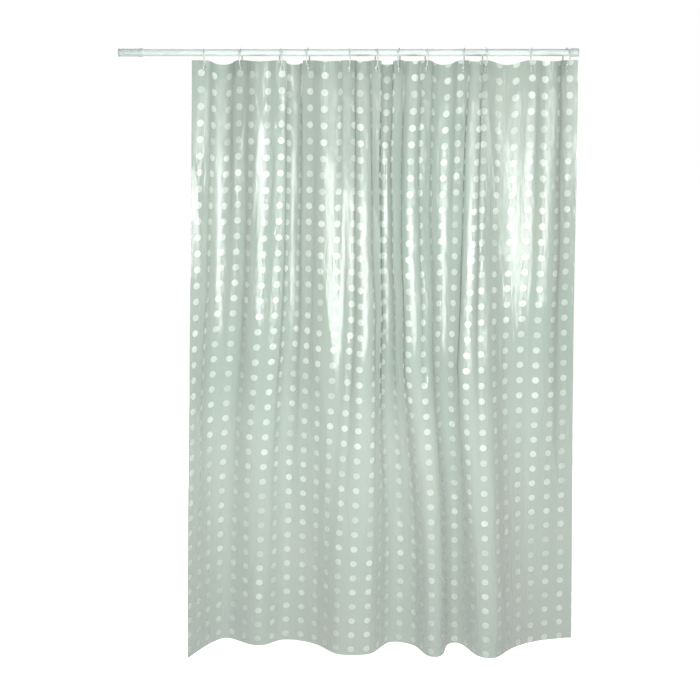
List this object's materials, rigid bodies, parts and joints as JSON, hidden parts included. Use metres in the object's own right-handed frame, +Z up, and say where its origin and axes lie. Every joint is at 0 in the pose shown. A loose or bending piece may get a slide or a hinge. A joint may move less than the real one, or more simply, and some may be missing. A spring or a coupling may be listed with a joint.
{
  "type": "shower curtain",
  "caption": "Gathered plastic-film shower curtain with a dot pattern, on split rings along a twist-to-fit tension rod.",
  "frame": {"origin": "centre of the right-hand pad's wall face, on the rod's axis", "axes": "+X along the rod towards the right-hand wall, -Y to the front of the curtain, +Z up"},
  "size_m": [1.5084, 0.1756, 2.0387],
  "materials": {
    "film": "gloss",
    "clear_plastic": "gloss",
    "rod_enamel": "satin",
    "end_plastic": "satin",
    "inner_plastic": "matte",
    "pad_rubber": "matte"
  },
  "bodies": {
    "rod": {"main_tube": "rod_enamel", "end_plug": "inner_plastic", "end_cap": "end_plastic", "right_pad": "pad_rubber", "screw_guide": "inner_plastic"},
    "adjuster": {"adjuster_sleeve": "end_plastic"},
    "left_foot": {"foot_screw": "end_plastic", "left_pad": "pad_rubber"},
    "curtain": {"film": "film", "header_strip": "film", "ring_12": "clear_plastic", "eyelet_12": "clear_plastic"},
    "ring_01_carrier": {"ring_01": "clear_plastic", "eyelet_01": "clear_plastic"},
    "ring_02_carrier": {"ring_02": "clear_plastic", "eyelet_02": "clear_plastic"},
    "ring_03_carrier": {"ring_03": "clear_plastic", "eyelet_03": "clear_plastic"},
    "ring_04_carrier": {"ring_04": "clear_plastic", "eyelet_04": "clear_plastic"},
    "ring_05_carrier": {"ring_05": "clear_plastic", "eyelet_05": "clear_plastic"},
    "ring_06_carrier": {"ring_06": "clear_plastic", "eyelet_06": "clear_plastic"},
    "ring_07_carrier": {"ring_07": "clear_plastic", "eyelet_07": "clear_plastic"},
    "ring_08_carrier": {"ring_08": "clear_plastic", "eyelet_08": "clear_plastic"},
    "ring_09_carrier": {"ring_09": "clear_plastic", "eyelet_09": "clear_plastic"},
    "ring_10_carrier": {"ring_10": "clear_plastic", "eyelet_10": "clear_plastic"},
    "ring_11_carrier": {"ring_11": "clear_plastic", "eyelet_11": "clear_plastic"}
  },
  "joints": [
    {"name": "sleeve_twist", "type": "hinge", "parent": "rod", "child": "adjuster", "pos_m": [-1.4, 0, 0], "axis": [1, 0, 0], "range_deg": [0, 1800]},
    {"name": "foot_reach", "type": "slide", "parent": "rod", "child": "left_foot", "axis": [-1, 0, 0], "range_m": [0, 0.02]},
    {"name": "curtain_swing", "type": "hinge", "parent": "rod", "child": "curtain", "pos_m": [-0.6, 0, 0], "axis": [1, 0, 0], "range_deg": [-20, 20]},
    {"name": "curtain_draw", "type": "slide", "parent": "curtain", "child": "ring_01_carrier", "axis": [1, 0, 0], "range_m": [0, 0.83188], "deforming": ["film", "header_strip"]},
    {"name": "ring_02_slide", "type": "slide", "parent": "curtain", "child": "ring_02_carrier", "axis": [1, 0, 0], "range_m": [0, 0.74757]},
    {"name": "ring_03_slide", "type": "slide", "parent": "curtain", "child": "ring_03_carrier", "axis": [1, 0, 0], "range_m": [0, 0.65558]},
    {"name": "ring_04_slide", "type": "slide", "parent": "curtain", "child": "ring_04_carrier", "axis": [1, 0, 0], "range_m": [0, 0.59312]},
    {"name": "ring_05_slide", "type": "slide", "parent": "curtain", "child": "ring_05_carrier", "axis": [1, 0, 0], "range_m": [0, 0.49678]},
    {"name": "ring_06_slide", "type": "slide", "parent": "curtain", "child": "ring_06_carrier", "axis": [1, 0, 0], "range_m": [0, 0.4358]},
    {"name": "ring_07_slide", "type": "slide", "parent": "curtain", "child": "ring_07_carrier", "axis": [1, 0, 0], "range_m": [0, 0.38432]},
    {"name": "ring_08_slide", "type": "slide", "parent": "curtain", "child": "ring_08_carrier", "axis": [1, 0, 0], "range_m": [0, 0.32116]},
    {"name": "ring_09_slide", "type": "slide", "parent": "curtain", "child": "ring_09_carrier", "axis": [1, 0, 0], "range_m": [0, 0.23512]},
    {"name": "ring_10_slide", "type": "slide", "parent": "curtain", "child": "ring_10_carrier", "axis": [1, 0, 0], "range_m": [0, 0.18696]},
    {"name": "ring_11_slide", "type": "slide", "parent": "curtain", "child": "ring_11_carrier", "axis": [1, 0, 0], "range_m": [0, 0.08147]}
  ],
  "couplings": [
    {"joint": "foot_reach", "follows": "sleeve_twist", "m_per_rad": 0.00063662},
    {"joint": "ring_02_slide", "follows": "curtain_draw", "ratio": 0.89864},
    {"joint": "ring_03_slide", "follows": "curtain_draw", "ratio": 0.78806},
    {"joint": "ring_04_slide", "follows": "curtain_draw", "ratio": 0.71297},
    {"joint": "ring_05_slide", "follows": "curtain_draw", "ratio": 0.59717},
    {"joint": "ring_06_slide", "follows": "curtain_draw", "ratio": 0.52386},
    {"joint": "ring_07_slide", "follows": "curtain_draw", "ratio": 0.46197},
    {"joint": "ring_08_slide", "follows": "curtain_draw", "ratio": 0.38605},
    {"joint": "ring_09_slide", "follows": "curtain_draw", "ratio": 0.28263},
    {"joint": "ring_10_slide", "follows": "curtain_draw", "ratio": 0.22473},
    {"joint": "ring_11_slide", "follows": "curtain_draw", "ratio": 0.097923}
  ]
}
